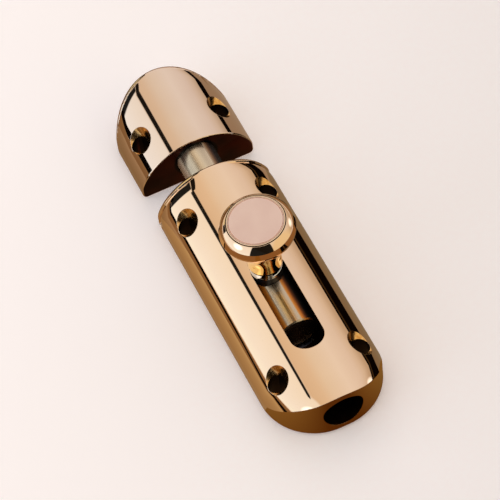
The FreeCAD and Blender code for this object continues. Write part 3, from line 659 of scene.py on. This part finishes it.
def matt_board():
    """Pale pink-white board. It is matt and takes the latch's soft shadow, and a painted glow, stronger on
    its left than on its right, lifts it a little wherever the eye, or a polished face, sees it."""
    material, tree = new_material("matt_board")
    place = add(tree, "TexCoord")
    fibre = add(tree, "TexNoise", {"Vector": place.outputs["Object"], "Scale": 1 / (1.5 * MM), "Detail": 3.0})
    tone = add(tree, "ValToRGB", {0: fibre.outputs[0]}, stops=[(0.3, "#F1E9E9"), (0.7, "#F3EBEB")])
    matt = add(tree, "BsdfDiffuse", {"Color": tone.outputs[0]})
    path = add(tree, "LightPath")
    seen = add(tree, "Math", {0: path.outputs["Is Camera Ray"], 1: path.outputs["Is Glossy Ray"]},
               operation="MAXIMUM")
    seen = add(tree, "Math", {0: seen.outputs[0], 1: path.outputs["Is Transmission Ray"]}, operation="MAXIMUM")
    # painted light: the glow falls off from the sheet's left to its right
    sides = add(tree, "VectorMath", {0: place.outputs["Object"], 1: (0.43, 0.90, 0)}, operation="DOT_PRODUCT")
    level = add(tree, "MapRange", {"Value": sides.outputs["Value"], "From Min": -60 * MM, "From Max": 60 * MM,
                                   "To Min": 0.245, "To Max": 0.115})
    lift = add(tree, "Math", {0: seen.outputs[0], 1: level.outputs[0]}, operation="MULTIPLY")
    glow = add(tree, "Emission", {"Color": linear("#FFF5F4"), "Strength": lift.outputs[0]})
    both = add(tree, "AddShader", {0: matt.outputs[0], 1: glow.outputs[0]})
    add(tree, "OutputMaterial", {0: both.outputs[0]})
    return material


def board(name, corners, material):
    mesh = bpy.data.meshes.new(name)
    mesh.from_pydata([Vector(corner) * MM for corner in corners], [], [tuple(range(len(corners)))])
    made = bpy.data.objects.new(name, mesh)
    bpy.context.scene.collection.objects.link(made)
    mesh.materials.append(material)
    return made


board("table_board", [(-4000, -4000, 0), (4000, -4000, 0), (4000, 4000, 0), (-4000, 4000, 0)], matt_board())

# ---------------------------------------------------------------- flags
# Painted reflections: glowing strips stand and lie round the latch, seen only in reflections. Black ones
# draw the dark lines between its bright bands, brown ones deepen its flanks.


def painted_reflection_card(name, near, far=None, start=0.0, reach=0.0):
    """A painted reflection: a sheet that glows its own colour, lit by nothing. It is one tone all over, or goes
    from near to far between two distances in mm from the latch's middle line."""
    material, tree = new_material(name)
    if far is None:
        glow = add(tree, "Emission", {"Color": linear(near), "Strength": 1.0})
        add(tree, "OutputMaterial", {0: glow.outputs[0]})
        return material
    place = add(tree, "TexCoord")
    part = add(tree, "SeparateXYZ", {0: place.outputs["Object"]})
    away = add(tree, "Math", {0: part.outputs["Y"]}, operation="ABSOLUTE")
    away = add(tree, "MapRange", {"Value": away.outputs[0], "From Min": start * MM, "From Max": reach * MM})
    tone = add(tree, "ValToRGB", {0: away.outputs[0]}, stops=[(0.0, near), (1.0, far)])
    glow = add(tree, "Emission", {"Color": tone.outputs[0], "Strength": 1.0})
    add(tree, "OutputMaterial", {0: glow.outputs[0]})
    return material


def set_card(name, corners, material):
    made = board(name, corners, material)
    made.visible_camera = made.visible_diffuse = made.visible_shadow = False
    made.visible_transmission = made.visible_volume_scatter = False


def stand_card(name, foot, material):
    """Glowing strips, seen only in reflections, that stand along a line of (x, y, lower z, upper z) in mm."""
    for number, (one, two) in enumerate(zip(foot, foot[1:])):
        set_card("%s_%d" % (name, number), [(one[0], one[1], one[2]), (two[0], two[1], two[2]),
                                            (two[0], two[1], two[3]), (one[0], one[1], one[3])], material)


def lay_card(name, x0, x1, y0, y1, material, z=0.1):
    set_card(name, [(x0, y0, z), (x1, y0, z), (x1, y1, z), (x0, y1, z)], material)


# painted reflection: the whole table, seen in the metal, is darker and more copper than it looks
lay_card("reflected_floor_round", -300, 300, -300, 300, painted_reflection_card("copper_painted_reflection", "#8F6D4A", "#9E7F59", 14.0, 200.0), 0.05)
black = painted_reflection_card("black_painted_reflection", "#0A0402")
# painted dark reflection left of the latch: the line between haunch and flank
stand_card("dark_reflection_left_keeper", [(-110, 0, 0.1, 14.0), (-104, -24, 0.1, 14.0), (-88, -33, 2.0, 13.0),
                                (-66, -33, 7.4, 12.6), (-41, -33, 7.0, 12.2)], black)
stand_card("dark_reflection_left_casing", [(-41, -33, 5.6, 8.4), (-24, -33, 5.4, 7.8), (0, -33, 4.5, 6.7),
                                (12, -33, 4.0, 6.0), (22, -33, 2.6, 5.0), (45, -33, 2.6, 5.0)], black)
# painted dark reflection right of it: the broad dark band with its fine seam
stand_card("dark_reflection_right_keeper", [(-90, 33, 10.2, 16.0), (-60, 33, 10.2, 15.6), (-40, 33, 9.0, 13.4)], black)
stand_card("dark_reflection_right_casing", [(-40, 30.5, 0.1, 9.0), (70, 30.5, 0.1, 9.0)], black)
stand_card("dark_reflection_right_edge", [(-40, 30.5, 10.4, 12.8), (0, 30.5, 10.4, 12.4), (70, 30.5, 10.4, 12.0)], black)
stand_card("dark_reflection_right_seam", [(-40, 30.5, 9.0, 10.4), (70, 30.5, 9.0, 10.4)],
           painted_reflection_card("seam_painted_reflection", "#43331F"))
# painted reflection: a tan strip below the keeper's dark band
stand_card("reflection_wing_right_keeper", [(-90, 33, 0.1, 10.2), (-60, 33, 0.1, 10.2), (-40, 33, 0.1, 9.0)],
           painted_reflection_card("tan_painted_reflection", "#A8927A"))
# and painted reflections on the table: what the flanks and the wall of the rounded end show
lay_card("reflected_floor_right_keeper", -60, -22, 14.3, 33, painted_reflection_card("tan_painted_reflection_laid", "#A8927A"))
lay_card("reflected_floor_right", -22, 38, 14.3, 30.5, painted_reflection_card("brown_painted_reflection", "#8C795E"))
lay_card("reflected_floor_left", -22, 38, -40, -14.3, painted_reflection_card("ochre_painted_reflection", "#A3845C", "#CEB486", 14.0, 38.0))
lay_card("reflected_floor_left_keeper", -60, -22, -40, -14.3,
         painted_reflection_card("ochre_painted_reflection_greyer", "#917552", "#B59A79", 14.0, 38.0))
lay_card("reflected_floor_end", 38, 80, -40, 40, painted_reflection_card("umber_painted_reflection", "#5D350F", "#8A6530", 4.0, 17.0))
# a painted dark reflection: a high band beyond the rounded end, which shows only in the knob
around = [math.radians(angle) for angle in range(-48, 13, 10)]
stand_card("dark_reflection_front", [(13 + 56 * math.cos(angle), 56 * math.sin(angle), 23.0, 31.0) for angle in around], black)

# ---------------------------------------------------------------- studio
# Two large soft boxes hang over the table, a cool one on the left and a warmer one above, and the room
# behind the camera is dark. Both boxes are far away, so they are drawn in the world by direction.

world = bpy.data.worlds.new("studio")
bpy.context.scene.world = world
world.use_nodes = True
sky = world.node_tree
sky.nodes.clear()
direction = add(sky, "TexCoord")
part = add(sky, "SeparateXYZ", {0: direction.outputs["Generated"]})
# degrees from overhead towards +Y, seen along the casing, and degrees towards +X
roll = add(sky, "Math", {0: part.outputs["Y"], 1: part.outputs["Z"]}, operation="ARCTAN2")
roll = add(sky, "Math", {0: roll.outputs[0], 1: 180 / math.pi}, operation="MULTIPLY")
tilt = add(sky, "Math", {0: part.outputs["X"]}, operation="ARCSINE")
tilt = add(sky, "Math", {0: tilt.outputs[0], 1: 180 / math.pi}, operation="MULTIPLY")
across = add(sky, "MapRange", {"Value": roll.outputs[0], "From Min": -180.0, "From Max": 180.0})


def at(degrees):
    return (degrees + 180) / 360


boxes = add(sky, "ValToRGB", {0: across.outputs[0]},
            stops=[(at(-90), "#E3F3FC"), (at(-75), "#DFEAF5"), (at(-45), "#DCE3E7"), (at(-38), "#DAE0E4"),
                   (at(-33), "#C5B8A6"), (at(-15), "#C9BEAF"), (at(0), "#CCC8C1"), (at(30), "#D0D0D2"),
                   (at(57), "#C7C3C3"), (at(69), "#BFB7AF"), (at(80), "#AB9E8F"), (at(100), "#A09080")])
# the gap between the boxes runs a little askew, steps down beyond the keeper's end and widens that way
beyond = add(sky, "Math", {0: tilt.outputs[0], 1: -34.6}, operation="LESS_THAN")
askew = add(sky, "Math", {0: tilt.outputs[0], 1: 0.4, 2: roll.outputs[0]}, operation="MULTIPLY_ADD")
askew = add(sky, "Math", {0: beyond.outputs[0], 1: -2.9, 2: askew.outputs[0]}, operation="MULTIPLY_ADD")
from_gap = add(sky, "Math", {0: askew.outputs[0], 1: 48.6}, operation="ADD")
from_gap = add(sky, "Math", {0: from_gap.outputs[0]}, operation="ABSOLUTE")
half_gap = add(sky, "Math", {0: tilt.outputs[0], 1: -0.26, 2: -5.6}, operation="MULTIPLY_ADD")
past = add(sky, "Math", {0: from_gap.outputs[0], 1: half_gap.outputs[0]}, operation="SUBTRACT")
gap = add(sky, "MapRange", {"Value": past.outputs[0], "From Min": -0.4, "From Max": 0.6})
# the dark room behind the camera
turn = add(sky, "Math", {0: part.outputs["Y"], 1: part.outputs["X"]}, operation="ARCTAN2")
from_camera = add(sky, "Math", {0: turn.outputs[0], 1: math.radians(18)}, operation="ADD")
from_camera = add(sky, "Math", {0: from_camera.outputs[0]}, operation="ABSOLUTE")
beside = add(sky, "MapRange", {"Value": from_camera.outputs[0], "From Min": math.radians(29),
                               "From Max": math.radians(31)})
above = add(sky, "MapRange", {"Value": part.outputs["Z"], "From Min": math.sin(math.radians(60)),
                              "From Max": math.sin(math.radians(64))})
room = add(sky, "Math", {0: beside.outputs[0], 1: above.outputs[0]}, operation="MAXIMUM")
# past the left box's end stands a dark door, and beyond it a dim yellow wall
left = add(sky, "MapRange", {"Value": roll.outputs[0], "From Min": -35.5, "From Max": -34.5})
before_door = add(sky, "MapRange", {"Value": tilt.outputs[0], "From Min": -41.0, "From Max": -39.5})
past_door = add(sky, "MapRange", {"Value": tilt.outputs[0], "From Min": -57.0, "From Max": -55.0,
                                  "To Min": 1.0, "To Max": 0.0})
door = add(sky, "Math", {0: left.outputs[0], 1: before_door.outputs[0]}, operation="MAXIMUM")
door = add(sky, "Math", {0: door.outputs[0], 1: past_door.outputs[0]}, operation="MAXIMUM")
wall = add(sky, "MapRange", {"Value": roll.outputs[0], "From Min": -36.0, "From Max": -35.0,
                             "To Min": 1.0, "To Max": 0.0})
wall = add(sky, "Math", {0: wall.outputs[0], 1: past_door.outputs[0]}, operation="MULTIPLY")
walled = add(sky, "Mix", {0: wall.outputs[0], 6: boxes.outputs[0], 7: linear("#C1BC94")}, data_type="RGBA")
# on the camera's side the right box is yellower, and two small lamps stand low on either hand
camera_side = add(sky, "MapRange", {"Value": tilt.outputs[0], "From Min": 5.0, "From Max": 25.0})
right_hand = add(sky, "MapRange", {"Value": roll.outputs[0], "From Min": 10.0, "From Max": 30.0})
golden = add(sky, "Math", {0: camera_side.outputs[0], 1: right_hand.outputs[0]}, operation="MULTIPLY")
yellower = add(sky, "Mix", {0: golden.outputs[0], 6: walled.outputs[2], 7: linear("#CFC3A4")}, data_type="RGBA")
tinted = yellower.outputs[2]
for azimuth, height, spread in ((-84, 24, 14), (93, 9, 11)):
    side, lift = math.radians(azimuth), math.radians(height)
    towards = (math.cos(side) * math.cos(lift), math.sin(side) * math.cos(lift), math.sin(lift))
    nearness = add(sky, "VectorMath", {0: direction.outputs["Generated"], 1: towards}, operation="DOT_PRODUCT")
    patch = add(sky, "MapRange", {"Value": nearness.outputs["Value"], "From Min": math.cos(math.radians(spread)),
                                  "From Max": math.cos(math.radians(spread / 3))})
    lamp = add(sky, "VectorMath", {0: patch.outputs[0], 1: linear("#CFE6FF")[:3], 2: tinted},
               operation="MULTIPLY_ADD")
    tinted = lamp.outputs[0]
room = add(sky, "Math", {0: room.outputs[0], 1: door.outputs[0]}, operation="MULTIPLY")
lit = add(sky, "Math", {0: room.outputs[0], 1: gap.outputs[0]}, operation="MULTIPLY")
lit = add(sky, "Math", {0: lit.outputs[0], 1: 0.985, 2: 0.015}, operation="MULTIPLY_ADD")
studio = add(sky, "Mix", {0: lit.outputs[0], 6: linear("#000000"), 7: tinted}, data_type="RGBA")
lamps = add(sky, "Background", {"Color": studio.outputs[2], "Strength": 1.6})
backdrop = add(sky, "Background", {"Color": linear("#F6EAE7"), "Strength": 1.0})
# past the table's edge the eye sees a plain backdrop, and polished metal the boxes that light it
ray = add(sky, "LightPath")
seen = add(sky, "Math", {0: ray.outputs["Is Camera Ray"], 1: ray.outputs["Is Transmission Ray"]},
           operation="MAXIMUM")
shown = add(sky, "MixShader", {0: seen.outputs[0], 1: lamps.outputs[0], 2: backdrop.outputs[0]})
add(sky, "OutputWorld", {0: shown.outputs[0]})

bpy.context.scene.view_settings.view_transform = "Standard"

# ---------------------------------------------------------------- camera
# A long lens looks down on the latch from beyond the casing's rounded end and a little from its left, rolled
# so that the latch stands steeply in the frame.

eye = bpy.data.cameras.new("camera")
eye.sensor_width = 36.0
eye.lens = 191.53
camera = bpy.data.objects.new("camera", eye)
bpy.context.scene.collection.objects.link(camera)
camera.location = (0.31979, -0.10667, 0.49554)
camera.rotation_euler = [math.radians(angle) for angle in (34.1155, 4.5642, 64.7135)]
bpy.context.scene.camera = camera
